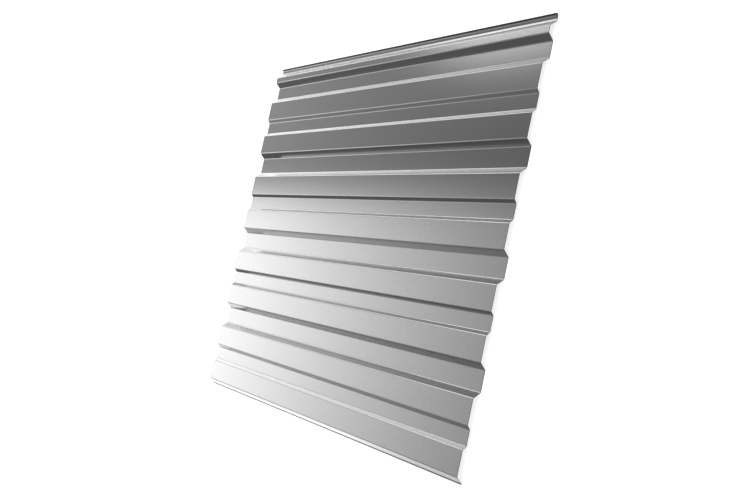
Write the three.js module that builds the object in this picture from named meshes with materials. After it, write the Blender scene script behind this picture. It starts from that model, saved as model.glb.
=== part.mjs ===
// Trapezoidal metal cladding sheet: one strip of bare galvanised steel, roll formed along
// its whole length. Broad flat lands lie uppermost, and between them run deep and shallow
// troughs by turns. One long edge ends in a hooked lip, which the next sheet laps over. The
// other ends in a plain free flank.
//
// Millimetres. The sheet lies on the feet of its deep troughs, outer face up. +X runs along
// the ribs, +Y across them towards the hooked lip, and +Z up. The origin is the middle of
// the sheet, at the level of what it lies on.

import * as THREE from 'three';

// The strip
const SHEET_LENGTH = 1500;
const STEEL_THICKNESS = 0.7;
const FOLD_RADIUS = 4; // to the middle of the steel
const CHORDS_PER_ARC_HALF = 3;

// One pitch across the sheet, measured between the folds of the steel's middle line
const LAND_WIDTH = 65;
const DEEP_DEPTH = 18.3;
const DEEP_FLANK_RUN = 16;
const DEEP_BASE_WIDTH = 54;
const SHALLOW_DEPTH = 8.9;
const SHALLOW_FLANK_RUN = 9.5;
const SHALLOW_BASE_WIDTH = 40;
const PITCH_COUNT = 4;

// The lapped edge: a hooked lip, a narrow ridge and a first deep trough with a narrower base
const HOOK_RISE = 5.4;
const HOOK_RUN = 5.2;
const LIP_WIDTH = 13.5;
const RIDGE_WIDTH = 19;
const LAPPED_BASE_WIDTH = 43;

const galvanisedSteel = new THREE.MeshStandardMaterial({
  name: 'galvanised_steel',
  color: 0xb9bdbe,
  roughness: 0.38,
  metalness: 0.9,
});

/** Walks across the strip from one edge to the other and notes where it is folded. */
class SectionWalk {
  constructor(startHeight) {
    this.folds = [new THREE.Vector2(0, startHeight)];
  }

  step(run, rise) {
    const last = this.folds.at(-1);
    this.folds.push(new THREE.Vector2(last.x + run, last.y + rise));
    return this;
  }

  trough(depth, flankRun, baseWidth) {
    return this.step(flankRun, -depth).step(baseWidth, 0).step(flankRun, depth);
  }
}

/** Fold points of the whole section, from the hooked lip to the free flank. */
function foldSection() {
  const walk = new SectionWalk(HOOK_RISE);
  walk.step(HOOK_RUN, -HOOK_RISE);
  walk.step(LIP_WIDTH, 0);
  walk.step(DEEP_FLANK_RUN, DEEP_DEPTH);
  walk.step(RIDGE_WIDTH, 0);
  for (let pitch = 0; pitch < PITCH_COUNT; pitch += 1) {
    const deepBase = pitch === 0 ? LAPPED_BASE_WIDTH : DEEP_BASE_WIDTH;
    walk.trough(DEEP_DEPTH, DEEP_FLANK_RUN, deepBase);
    walk.step(LAND_WIDTH, 0);
    walk.trough(SHALLOW_DEPTH, SHALLOW_FLANK_RUN, SHALLOW_BASE_WIDTH);
    walk.step(LAND_WIDTH, 0);
  }
  walk.step(DEEP_FLANK_RUN, -DEEP_DEPTH);
  return walk.folds;
}

function directionBetween(start, end) {
  return end.clone().sub(start).normalize();
}

/** The point of the left face beside an end of the strip. */
function edgeCorner(end, direction) {
  const leftNormal = new THREE.Vector2(-direction.y, direction.x);
  return end.clone().addScaledVector(leftNormal, STEEL_THICKNESS / 2);
}

/** Adds one fold of the left face to the outline, as a tangent arc. */
function traceFold(outline, before, fold, after) {
  const arriving = directionBetween(before, fold);
  const leaving = directionBetween(fold, after);
  const turn = Math.atan2(arriving.cross(leaving), arriving.dot(leaving));
  const side = Math.sign(turn);
  const towardsCentre = leaving.clone().sub(arriving).normalize();
  const centre = fold.clone().addScaledVector(towardsCentre, FOLD_RADIUS / Math.cos(turn / 2));
  const radius = FOLD_RADIUS - side * STEEL_THICKNESS / 2;
  const startAngle = arriving.angle() - side * Math.PI / 2;
  outline.absarc(centre.x, centre.y, radius, startAngle, startAngle + turn, side < 0);
}

/** Adds the face on the left of the walk, from its first edge to its last. */
function traceLeftFace(outline, folds) {
  const first = edgeCorner(folds[0], directionBetween(folds[0], folds[1]));
  const last = edgeCorner(folds.at(-1), directionBetween(folds.at(-2), folds.at(-1)));
  outline.lineTo(first.x, first.y);
  for (let index = 1; index < folds.length - 1; index += 1) {
    traceFold(outline, folds[index - 1], folds[index], folds[index + 1]);
  }
  outline.lineTo(last.x, last.y);
}

/** The closed section of the steel: out along its outer face and back along its inner one. */
function sectionShape() {
  const folds = foldSection();
  const start = edgeCorner(folds[0], directionBetween(folds[0], folds[1]));
  const outline = new THREE.Shape();
  outline.moveTo(start.x, start.y);
  traceLeftFace(outline, folds);
  traceLeftFace(outline, folds.toReversed());
  return outline;
}

function rollFormedSheet() {
  const geometry = new THREE.ExtrudeGeometry(sectionShape(), {
    depth: SHEET_LENGTH,
    bevelEnabled: false,
    curveSegments: CHORDS_PER_ARC_HALF,
  });
  const across = new THREE.Vector3(0, -1, 0);
  const up = new THREE.Vector3(0, 0, 1);
  const along = new THREE.Vector3(-1, 0, 0);
  geometry.applyMatrix4(new THREE.Matrix4().makeBasis(across, up, along));
  geometry.computeBoundingBox();
  const middle = geometry.boundingBox.getCenter(new THREE.Vector3());
  geometry.translate(-middle.x, -middle.y, -geometry.boundingBox.min.z);
  const sheet = new THREE.Mesh(geometry, galvanisedSteel);
  sheet.name = 'profiled_sheet';
  return sheet;
}

const corrugatedSheet = new THREE.Group();
corrugatedSheet.name = 'corrugated_metal_sheet';
corrugatedSheet.add(rollFormedSheet());

export default corrugatedSheet;
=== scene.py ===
"""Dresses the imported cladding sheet: its rolled folds, its galvanised finish and a plain studio.

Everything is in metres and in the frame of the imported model: +X runs along the ribs, +Y across
them towards the hooked lip, and +Z up from the surface that the sheet lies on.
"""

import logging
import math
from dataclasses import dataclass, field
from enum import Enum

import bpy
from mathutils import Matrix, Vector


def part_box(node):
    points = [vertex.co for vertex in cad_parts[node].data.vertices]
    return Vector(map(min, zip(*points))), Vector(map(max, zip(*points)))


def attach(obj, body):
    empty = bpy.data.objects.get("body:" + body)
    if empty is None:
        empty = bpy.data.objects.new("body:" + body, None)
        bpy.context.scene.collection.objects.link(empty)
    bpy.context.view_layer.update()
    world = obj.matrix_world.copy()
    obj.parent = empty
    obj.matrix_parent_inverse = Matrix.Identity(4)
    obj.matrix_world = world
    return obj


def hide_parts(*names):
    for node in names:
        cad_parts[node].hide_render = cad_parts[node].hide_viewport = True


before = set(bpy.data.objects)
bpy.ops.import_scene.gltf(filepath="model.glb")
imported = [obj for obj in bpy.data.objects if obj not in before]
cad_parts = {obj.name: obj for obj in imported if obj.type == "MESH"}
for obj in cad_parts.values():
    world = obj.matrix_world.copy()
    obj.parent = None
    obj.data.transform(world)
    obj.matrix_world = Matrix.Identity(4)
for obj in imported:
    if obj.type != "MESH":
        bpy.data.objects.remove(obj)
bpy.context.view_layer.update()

SHEET_NODE = "profiled_sheet"
STEEL_SLOT = "galvanised_steel"

Colour = tuple[float, float, float, float]
WHITE: Colour = (1.0, 1.0, 1.0, 1.0)

logging.basicConfig(level=logging.INFO, format="%(levelname)s %(message)s")
log = logging.getLogger("cladding_sheet")


class Trough(Enum):
    """The two kinds of trough that take turns across the sheet."""

    DEEP = "deep"
    SHALLOW = "shallow"


class MeshPart(Enum):
    """What a selection in a mesh is made of."""

    POINTS = "VERT"
    EDGES = "EDGE"


@dataclass
class NodeDesk:
    """Sets out the nodes of one shader and wires them.

    The Mix node keeps sockets for numbers and vectors before those for colours, so the ones for
    its share, its two colours and its result are picked by number.
    """

    tree: bpy.types.NodeTree
    mix_inputs: tuple[int, int, int] = (0, 6, 7)
    mix_output: int = 2

    def add(self, kind: str) -> bpy.types.Node:
        """Adds one node of a kind."""
        return self.tree.nodes.new(kind)

    def wire(self, source: bpy.types.NodeSocket | float | Colour, socket: bpy.types.NodeSocket) -> None:
        """Feeds an input from another node, or sets it to a number or a colour.

        Args:
            source: A socket of another node, a number or a colour.
            socket: The input.
        """
        if isinstance(source, bpy.types.NodeSocket):
            self.tree.links.new(source, socket)
        else:
            socket.default_value = source

    def math(self, operation: str, *terms: bpy.types.NodeSocket | float) -> bpy.types.NodeSocket:
        """Works out one step of arithmetic.

        Args:
            operation: Name of the operation.
            terms: Its inputs, each a socket or a number.

        Returns:
            The result.
        """
        node = self.add("ShaderNodeMath")
        node.operation = operation
        for term, socket in zip(terms, node.inputs):
            self.wire(term, socket)
        return node.outputs[0]

    def ease(self, value: bpy.types.NodeSocket, start: float, end: float) -> bpy.types.NodeSocket:
        """Rises gently from 0 at the start to 1 at the end.

        Args:
            value: What it depends on.
            start: Where it leaves 0.
            end: Where it reaches 1.

        Returns:
            The eased value.
        """
        node = self.add("ShaderNodeMapRange")
        node.interpolation_type = "SMOOTHSTEP"
        self.wire(value, node.inputs["Value"])
        self.wire(start, node.inputs["From Min"])
        self.wire(end, node.inputs["From Max"])
        return node.outputs["Result"]

    def between(
        self, share: bpy.types.NodeSocket, first: float, second: float
    ) -> bpy.types.NodeSocket:
        """Runs evenly from one number to another.

        Args:
            share: 0 for the first number, 1 for the second.
            first: Number at 0.
            second: Number at 1.

        Returns:
            The number between them.
        """
        node = self.add("ShaderNodeMapRange")
        self.wire(share, node.inputs["Value"])
        self.wire(first, node.inputs["To Min"])
        self.wire(second, node.inputs["To Max"])
        return node.outputs["Result"]

    def tint(
        self,
        share: bpy.types.NodeSocket,
        first: bpy.types.NodeSocket | Colour,
        second: bpy.types.NodeSocket | Colour,
    ) -> bpy.types.NodeSocket:
        """Mixes two colours.

        Args:
            share: 0 for the first colour, 1 for the second.
            first: Colour at 0.
            second: Colour at 1.

        Returns:
            The mixed colour.
        """
        node = self.add("ShaderNodeMix")
        node.data_type = "RGBA"
        for source, index in zip((share, first, second), self.mix_inputs):
            self.wire(source, node.inputs[index])
        return node.outputs[self.mix_output]

    def object_place(self) -> bpy.types.NodeSocket:
        """Where on the piece, in metres from its origin."""
        return self.add("ShaderNodeTexCoord").outputs["Object"]

    def axes(self, place: bpy.types.NodeSocket) -> tuple[bpy.types.NodeSocket, ...]:
        """Splits a place or a direction into X, Y and Z.

        Args:
            place: The place or direction.

        Returns:
            Its three numbers.
        """
        split = self.add("ShaderNodeSeparateXYZ")
        self.wire(place, split.inputs["Vector"])
        return tuple(split.outputs)

    def grain(
        self, place: bpy.types.NodeSocket, scale: float, detail: float
    ) -> bpy.types.NodeSocket:
        """Adds an irregular grain.

        Args:
            place: Where on the piece.
            scale: Grains to the metre, roughly.
            detail: How many finer layers it has.

        Returns:
            A value round one half.
        """
        node = self.add("ShaderNodeTexNoise")
        self.wire(place, node.inputs["Vector"])
        self.wire(scale, node.inputs["Scale"])
        self.wire(detail, node.inputs["Detail"])
        return node.outputs["Fac"]


@dataclass
class SheetSection:
    """Widths and depths of the rolled section, between the folds of the steel's middle line."""

    pitches: int = 4
    land_width: float = 0.065
    deep_depth: float = 0.0183
    deep_flank_run: float = 0.016
    deep_base_width: float = 0.054
    shallow_depth: float = 0.0089
    shallow_flank_run: float = 0.0095
    shallow_base_width: float = 0.040
    hook_rise: float = 0.0049
    hook_run: float = 0.0050
    lip_outer_rise: float = 0.0005
    lip_outer_run: float = 0.0082
    lip_inner_rise: float = 0.0009
    lapped_edge_reach: float = 0.0347
    ridge_width: float = 0.019
    lapped_base_width: float = 0.043

    def trough_steps(self, kind: Trough, base_width: float) -> list[tuple[float, float]]:
        """Run and rise of the three stretches of one trough.

        Args:
            kind: Deep or shallow.
            base_width: Width of its flat foot.

        Returns:
            The flank down, the foot and the flank up.
        """
        if kind is Trough.DEEP:
            run, depth = self.deep_flank_run, self.deep_depth
        else:
            run, depth = self.shallow_flank_run, self.shallow_depth
        return [(run, -depth), (base_width, 0.0), (run, depth)]

    def steps_to_hook(self) -> list[tuple[float, float]]:
        """Run and rise of every stretch from the ridge out to the edge of the hook.

        The lip has a shallow crease along its middle, so that it springs against the next sheet.

        Returns:
            The ridge's flank, the two halves of the lip and the hook.
        """
        flank_drop = self.deep_depth - self.lip_inner_rise
        flank_run = self.deep_flank_run * flank_drop / self.deep_depth
        inner_run = self.lapped_edge_reach - flank_run - self.lip_outer_run - self.hook_run
        return [
            (flank_run, -flank_drop),
            (inner_run, -self.lip_inner_rise),
            (self.lip_outer_run, self.lip_outer_rise),
            (self.hook_run, self.hook_rise),
        ]

    def steps_to_free_flank(self) -> list[tuple[float, float]]:
        """Run and rise of every stretch from the ridge to the free flank, in order.

        Returns:
            One pair for each flat stretch of the strip.
        """
        steps = []
        for pitch in range(self.pitches):
            deep_base = self.lapped_base_width if pitch == 0 else self.deep_base_width
            steps += self.trough_steps(Trough.DEEP, deep_base)
            steps.append((self.land_width, 0.0))
            steps += self.trough_steps(Trough.SHALLOW, self.shallow_base_width)
            steps.append((self.land_width, 0.0))
        steps.append((self.deep_flank_run, -self.deep_depth))
        return steps


@dataclass(frozen=True)
class GalvanisedSteel:
    """Bare galvanised steel: a satin zinc face, finely grained, with streaks drawn out by the rolls.

    A ragged band along its four edges turns the zinc near-black and rougher. The polish is the
    shader's roughness, on the brightest zinc and on the dullest.
    """

    dull_zinc: Colour = (0.37, 0.37, 0.37, 1.0)
    bright_zinc: Colour = (0.51, 0.51, 0.51, 1.0)
    # near-black colour of the ragged band along the four edges
    edge_band_colour: Colour = (0.06, 0.06, 0.06, 1.0)
    polish: tuple[float, float] = (0.135, 0.165)
    # roughness inside the band along the four edges
    edge_band_roughness: float = 0.45
    end_margin: float = 0.0010
    side_margin: float = 0.0055
    raggedness: float = 0.0006
    grain_scale: float = 200.0
    grain_detail: float = 3.0
    ragged_detail: float = 2.0
    streak_scale: float = 18.0
    streak_stretch: float = 4.0
    streak_share: float = 0.12
    relief_height: float = 0.00003
    relief_strength: float = 0.05

    def material(self, half_length: float, half_width: float) -> bpy.types.Material:
        """Makes the node material for a sheet that is centred on the origin.

        Args:
            half_length: Half of the sheet's length along X.
            half_width: Half of its width along Y.

        Returns:
            The material, ready to assign.
        """
        material = bpy.data.materials.new(STEEL_SLOT)
        material.use_nodes = True
        shader = material.node_tree.nodes["Principled BSDF"]
        shader.inputs["Metallic"].default_value = 1.0
        desk = NodeDesk(material.node_tree)
        place = desk.object_place()
        grain = desk.grain(place, self.grain_scale, self.grain_detail)
        streaks = desk.grain(self.drawn_out(desk, place), self.streak_scale, self.grain_detail)
        towards_streaks = desk.math("SUBTRACT", streaks, grain)
        tone = desk.math("MULTIPLY_ADD", towards_streaks, self.streak_share, grain)
        edge = self.edge_band(desk, place, half_length, half_width)
        zinc = desk.tint(tone, self.dull_zinc, self.bright_zinc)
        # the zinc turns near-black inside the band along the four edges
        desk.wire(desk.tint(edge, zinc, self.edge_band_colour), shader.inputs["Base Color"])
        polish = desk.between(tone, *reversed(self.polish))
        rougher = desk.math("SUBTRACT", self.edge_band_roughness, polish)
        desk.wire(desk.math("MULTIPLY_ADD", rougher, edge, polish), shader.inputs["Roughness"])
        relief = desk.add("ShaderNodeBump")
        desk.wire(self.relief_strength, relief.inputs["Strength"])
        desk.wire(self.relief_height, relief.inputs["Distance"])
        desk.wire(grain, relief.inputs["Height"])
        desk.wire(relief.outputs["Normal"], shader.inputs["Normal"])
        return material

    def drawn_out(self, desk: NodeDesk, place: bpy.types.NodeSocket) -> bpy.types.NodeSocket:
        """Stretches a pattern along the ribs, the way that the strip went through the rolls.

        Args:
            desk: Where the nodes go.
            place: Where on the piece.

        Returns:
            The place to read the stretched pattern at.
        """
        mapping = desk.add("ShaderNodeMapping")
        mapping.inputs["Scale"].default_value = (1.0 / self.streak_stretch, 1.0, 1.0)
        desk.wire(place, mapping.inputs["Vector"])
        return mapping.outputs["Vector"]

    def edge_band(
        self, desk: NodeDesk, place: bpy.types.NodeSocket, half_length: float, half_width: float
    ) -> bpy.types.NodeSocket:
        """Finds the ragged band along the four edges, which the material turns near-black.

        Args:
            desk: Where the nodes go.
            place: Where on the piece.
            half_length: Half of the sheet's length along X.
            half_width: Half of its width along Y.

        Returns:
            1 at the edges and 0 within.
        """
        along, across, _ = desk.axes(place)
        grain = desk.grain(place, self.grain_scale, self.ragged_detail)
        ragged = desk.math("MULTIPLY", grain, self.raggedness)
        margins = []
        for position, half_size, margin in (
            (along, half_length, self.end_margin),
            (across, half_width, self.side_margin),
        ):
            reach = desk.math("ADD", desk.math("ABSOLUTE", position), ragged)
            margins.append(desk.ease(reach, half_size - margin, half_size - margin / 2))
        return desk.math("MAXIMUM", *margins)


@dataclass
class RolledSheet:
    """The sheet itself: one strip of steel, folded across its width.

    The strip turns by more than least_turn degrees at a fold, and smooth_up_to is the sharpest
    step in degrees that is still shaded as one round face.
    """

    section: SheetSection = field(default_factory=SheetSection)
    steel_thickness: float = 0.0007
    fold_radius: float = 0.004
    fold_segments: int = 8
    least_turn: float = 8.0
    smooth_up_to: float = 30.0
    flat_face_weight: int = 100
    same_place: float = 1e-6
    finish: GalvanisedSteel = field(default_factory=GalvanisedSteel)

    def build(self) -> bpy.types.Object:
        """Models, dresses and seats the sheet in place of its solid.

        Returns:
            The finished object.
        """
        low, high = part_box(SHEET_NODE)
        sheet = self.lay_ridge(high.x - low.x)
        self.fold_strip(sheet)
        self.round_folds(sheet)
        self.thicken(sheet)
        self.seat(sheet, low, high)
        self.smooth(sheet)
        sheet.data.materials.append(self.finish.material(high.x, high.y))
        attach(sheet, "root")
        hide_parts(SHEET_NODE)
        return sheet

    def lay_ridge(self, length: float) -> bpy.types.Object:
        """Lays the narrow ridge as a plane along the whole sheet.

        Args:
            length: Length of the sheet along its ribs.

        Returns:
            The new object, a single face.
        """
        bpy.ops.object.select_all(action="DESELECT")
        bpy.ops.mesh.primitive_plane_add(size=1.0, location=(0.0, 0.0, 0.0))
        sheet = bpy.context.active_object
        sheet.name = sheet.data.name = "rolled_sheet"
        sheet.scale = (length, self.section.ridge_width, 1.0)
        bpy.ops.object.transform_apply(location=True, rotation=True, scale=True)
        return sheet

    def clear_selection(self, part: MeshPart) -> None:
        """Deselects the whole mesh that is being worked on, and sets what is picked out next.

        Args:
            part: Points or edges.
        """
        bpy.ops.object.mode_set(mode="EDIT")
        bpy.ops.mesh.select_all(action="DESELECT")
        bpy.ops.mesh.select_mode(type=part.value)
        bpy.ops.object.mode_set(mode="OBJECT")

    def extrude_edge(
        self, sheet: bpy.types.Object, highest: bool, steps: list[tuple[float, float]]
    ) -> None:
        """Walks one long edge of the strip outwards, stretch by stretch.

        Args:
            sheet: The strip, in object mode.
            highest: True for the edge at the largest Y, False for the one at the smallest.
            steps: Run away from the strip and rise of each stretch.
        """
        sign = 1.0 if highest else -1.0
        furthest = max(sign * vertex.co.y for vertex in sheet.data.vertices)
        self.clear_selection(MeshPart.POINTS)
        for vertex in sheet.data.vertices:
            vertex.select = abs(sign * vertex.co.y - furthest) < self.same_place
        bpy.ops.object.mode_set(mode="EDIT")
        bpy.ops.mesh.select_mode(type=MeshPart.EDGES.value)
        for run, rise in steps:
            bpy.ops.mesh.extrude_edges_move(TRANSFORM_OT_translate={"value": (0.0, sign * run, rise)})
        bpy.ops.object.mode_set(mode="OBJECT")

    def fold_strip(self, sheet: bpy.types.Object) -> None:
        """Adds the lapped edge on one side of the ridge and every trough on the other."""
        self.extrude_edge(sheet, highest=True, steps=self.section.steps_to_hook())
        self.extrude_edge(sheet, highest=False, steps=self.section.steps_to_free_flank())

    def round_folds(self, sheet: bpy.types.Object) -> None:
        """Rounds each fold to the bend radius.

        Args:
            sheet: The strip with sharp folds.
        """
        for turn in sorted(set(self.fold_turns(sheet).values())):
            self.clear_selection(MeshPart.EDGES)
            for index, turn_here in self.fold_turns(sheet).items():
                sheet.data.edges[index].select = turn_here == turn
            bpy.ops.object.mode_set(mode="EDIT")
            tangent = self.fold_radius * math.tan(math.radians(turn) / 2)
            bpy.ops.mesh.bevel(
                offset_type="OFFSET", offset=tangent, segments=self.fold_segments, affect="EDGES"
            )
            bpy.ops.object.mode_set(mode="OBJECT")

    def fold_turns(self, sheet: bpy.types.Object) -> dict[int, float]:
        """Finds the edges that lie on a sharp fold.

        Args:
            sheet: The strip.

        Returns:
            Edge index to the angle that the strip turns there, in degrees to the nearest tenth.
        """
        normals_beside: dict[tuple[int, int], list[Vector]] = {}
        for polygon in sheet.data.polygons:
            for key in polygon.edge_keys:
                normals_beside.setdefault(key, []).append(polygon.normal.copy())
        turns = {}
        for edge in sheet.data.edges:
            normals = normals_beside.get(tuple(sorted(edge.vertices)), [])
            if len(normals) == 2:
                angle = math.degrees(normals[0].angle(normals[1], 0.0))
                if angle > self.least_turn:
                    turns[edge.index] = round(angle, 1)
        return turns

    def thicken(self, sheet: bpy.types.Object) -> None:
        """Gives the strip the thickness of its steel, half to each side.

        Args:
            sheet: The folded strip.
        """
        solidify = sheet.modifiers.new("steel", "SOLIDIFY")
        solidify.thickness = self.steel_thickness
        solidify.offset = 0.0
        solidify.use_even_offset = True
        bpy.ops.object.select_all(action="DESELECT")
        sheet.select_set(True)
        bpy.context.view_layer.objects.active = sheet
        bpy.ops.object.modifier_apply(modifier=solidify.name)

    def seat(self, sheet: bpy.types.Object, low: Vector, high: Vector) -> None:
        """Moves the mesh to where its solid lies.

        Args:
            sheet: The finished strip.
            low: Lowest corner of the solid.
            high: Highest corner of the solid.
        """
        spreads = list(zip(*sheet.bound_box))
        mesh_low = Vector([min(spread) for spread in spreads])
        mesh_high = Vector([max(spread) for spread in spreads])
        log.info("sheet measures %s, its solid %s", mesh_high - mesh_low, high - low)
        shift = (low + high) / 2 - (mesh_low + mesh_high) / 2
        sheet.data.transform(Matrix.Translation(shift))

    def smooth(self, sheet: bpy.types.Object) -> None:
        """Shades the folds round and keeps the flats and the cut ends flat.

        Args:
            sheet: The finished strip.
        """
        bpy.ops.object.mode_set(mode="EDIT")
        bpy.ops.mesh.select_all(action="SELECT")
        bpy.ops.mesh.normals_make_consistent(inside=False)
        bpy.ops.object.mode_set(mode="OBJECT")
        bpy.ops.object.shade_smooth_by_angle(angle=math.radians(self.smooth_up_to))
        weighted = sheet.modifiers.new("even_shading", "WEIGHTED_NORMAL")
        weighted.keep_sharp = True
        weighted.weight = self.flat_face_weight
        bpy.ops.object.modifier_apply(modifier=weighted.name)


@dataclass(frozen=True)
class SoftPanel:
    """A long soft panel of light, far off and running beside the ribs.

    Its edges are angles round the line of the ribs, from overhead towards +Y, in degrees. How far
    a direction opens away from that line is its opening: 0 along the ribs, 1 at 45 degrees. The
    panel has its level at the opening level_at, fades by its fall as the opening grows, and is even
    below the narrowest one. Where opens is given, it comes up between those two openings.
    """

    name: str
    edges: tuple[float, float]
    edge_softness: tuple[float, float]
    level: float
    fall: float = 0.0
    opens: tuple[float, float] | None = None
    narrowest: float = 0.38
    level_at: float = 0.42

    def glow(
        self, desk: NodeDesk, turn: bpy.types.NodeSocket, opening: bpy.types.NodeSocket
    ) -> bpy.types.NodeSocket:
        """Adds the panel's nodes.

        Args:
            desk: Where the nodes go.
            turn: Angle of the direction round the ribs, in degrees.
            opening: Opening of the direction.

        Returns:
            How brightly the panel shines in the direction.
        """
        (first, last), (soft_first, soft_last) = self.edges, self.edge_softness
        begins = desk.ease(turn, first - soft_first / 2, first + soft_first / 2)
        ends = desk.ease(turn, last - soft_last / 2, last + soft_last / 2)
        share = desk.math("SUBTRACT", begins, desk.math("MULTIPLY", begins, ends))
        light = desk.math("MULTIPLY", share, self.level)
        if self.fall:
            opened = desk.math("MAXIMUM", opening, self.narrowest)
            beyond = desk.math("SUBTRACT", opened, self.level_at)
            fade = desk.math("EXPONENT", desk.math("MULTIPLY", beyond, -self.fall))
            light = desk.math("MULTIPLY", light, fade)
        if self.opens:
            light = desk.math("MULTIPLY", light, desk.ease(opening, *self.opens))
        return light


@dataclass
class Studio:
    """A plain pale floor, soft panels of light all round and the camera.

    The light is turned down where it comes along the ribs, at openings under those of end_on_opens.
    The floor has a pool of light beside the free flank, which fades towards the sheet's near end.
    """

    camera_place: tuple[float, float, float] = (2.7231, -0.2467, 1.5701)
    looks_along: tuple[float, float, float] = (-0.85138, 0.06738, -0.52021)
    picture_up: tuple[float, float, float] = (-0.05361, 0.97554, 0.21321)
    lens_mm: float = 50.02
    sensor_mm: float = 36.0
    air_light: float = 0.12
    end_on_opens: tuple[float, float] = (0.32, 0.42)
    end_on_share: float = 0.3
    least_along: float = 0.001
    floor_size: float = 80.0
    floor_drop: float = 0.0002
    floor_colour: Colour = (0.85, 0.85, 0.85, 1.0)
    floor_roughness: float = 0.9
    floor_glow: float = 0.6
    pool_glow: tuple[float, float] = (1.1, 0.35)
    pool_fades: tuple[float, float] = (0.04, 0.62)
    pool_begins: tuple[float, float] = (-0.575, -0.585)

    def build(self) -> None:
        """Adds the floor, the light and the camera."""
        self.add_floor()
        self.add_light()
        self.add_camera()

    def add_floor(self) -> None:
        """Adds the pale floor that the sheet lies on."""
        bpy.ops.object.select_all(action="DESELECT")
        bpy.ops.mesh.primitive_plane_add(
            size=self.floor_size, location=(0.0, 0.0, -self.floor_drop)
        )
        floor = bpy.context.active_object
        floor.name = "studio_floor"
        material = bpy.data.materials.new("pale_floor")
        material.use_nodes = True
        desk = NodeDesk(material.node_tree)
        shader = material.node_tree.nodes["Principled BSDF"]
        shader.inputs["Base Color"].default_value = self.floor_colour
        shader.inputs["Roughness"].default_value = self.floor_roughness
        path = desk.add("ShaderNodeLightPath")
        seen = desk.math("MAXIMUM", path.outputs["Is Camera Ray"], path.outputs["Is Glossy Ray"])
        seen = desk.math("MAXIMUM", seen, path.outputs["Is Transmission Ray"])
        shader.inputs["Emission Color"].default_value = WHITE
        glow = desk.math("MULTIPLY", seen, self.floor_pool(desk))
        desk.wire(glow, shader.inputs["Emission Strength"])
        floor.data.materials.append(material)

    def floor_pool(self, desk: NodeDesk) -> bpy.types.NodeSocket:
        """Works out how brightly the floor glows, with a pool of light beside the free flank.

        Args:
            desk: Where the nodes go.

        Returns:
            The glow, which in the pool falls off towards the near end.
        """
        along, across, _ = desk.axes(desk.object_place())
        pool = desk.between(desk.ease(along, *self.pool_fades), *self.pool_glow)
        beside = desk.ease(across, *self.pool_begins)
        extra = desk.math("SUBTRACT", pool, self.floor_glow)
        return desk.math("MULTIPLY_ADD", extra, beside, self.floor_glow)

    def panels(self) -> list[SoftPanel]:
        """The soft panels round the sheet.

        Returns:
            One entry for each panel.
        """
        return [
            SoftPanel("far", edges=(-21.0, 13.4), edge_softness=(4.3, 4.5), level=2.38, fall=4.1),
            SoftPanel("low", edges=(-60.6, -24.8), edge_softness=(32.0, 30.0), level=1.08, fall=2.63),
            SoftPanel("gap", edges=(16.6, 77.3), edge_softness=(9.6, 30.0), level=0.54, fall=4.0),
            SoftPanel("side", edges=(45.2, 74.5), edge_softness=(26.7, 37.2), level=2.13, fall=1.78),
            SoftPanel("strip", edges=(70.6, 75.9), edge_softness=(8.7, 0.8), level=3.39, fall=1.88),
            SoftPanel(
                "corner",
                edges=(25.6, 50.0),
                edge_softness=(1.0, 22.0),
                level=3.2,
                fall=1.9,
                opens=(0.655, 0.765),
            ),
            SoftPanel(
                "ceiling", edges=(-85.0, 85.0), edge_softness=(20.0, 20.0), level=0.8, opens=(1.0, 1.8)
            ),
        ]

    def add_light(self) -> None:
        """Lights the room with the panels and a little even light."""
        world = bpy.data.worlds.new("studio_air")
        world.use_nodes = True
        bpy.context.scene.world = world
        desk = NodeDesk(world.node_tree)
        direction = desk.add("ShaderNodeTexCoord").outputs["Generated"]
        along, across, up = desk.axes(direction)
        turn = desk.math("DEGREES", desk.math("ARCTAN2", across, up))
        reach = desk.math("MAXIMUM", desk.math("ABSOLUTE", along), self.least_along)
        squares = [desk.math("POWER", side, 2.0) for side in (across, up)]
        aside = desk.math("SQRT", desk.math("ADD", *squares))
        opening = desk.math("DIVIDE", aside, reach)
        glow: bpy.types.NodeSocket | float = 0.0
        for panel in self.panels():
            glow = desk.math("ADD", panel.glow(desk, turn, opening), glow)
        end_on = desk.between(desk.ease(opening, *self.end_on_opens), self.end_on_share, 1.0)
        light = desk.math("MULTIPLY_ADD", glow, end_on, self.air_light)
        background = world.node_tree.nodes["Background"]
        background.inputs["Color"].default_value = WHITE
        desk.wire(light, background.inputs["Strength"])

    def add_camera(self) -> None:
        """Places the camera, looking down on the sheet from past its near end."""
        data = bpy.data.cameras.new("studio_camera")
        data.lens = self.lens_mm
        data.sensor_width = self.sensor_mm
        camera = bpy.data.objects.new("studio_camera", data)
        bpy.context.scene.collection.objects.link(camera)
        forward = Vector(self.looks_along).normalized()
        right = forward.cross(Vector(self.picture_up)).normalized()
        up = right.cross(forward)
        turn = Matrix((right, up, -forward)).transposed().to_4x4()
        camera.matrix_world = Matrix.Translation(self.camera_place) @ turn
        bpy.context.scene.camera = camera


def main() -> None:
    """Builds the sheet and the studio in order and reports each piece."""
    sheet = RolledSheet().build()
    log.info("%s: %d faces", sheet.name, len(sheet.data.polygons))
    studio = Studio()
    studio.build()
    log.info("studio: floor, camera and panels %s", [panel.name for panel in studio.panels()])
    bpy.context.scene.view_settings.view_transform = "Standard"


if __name__ == "__main__":
    main()
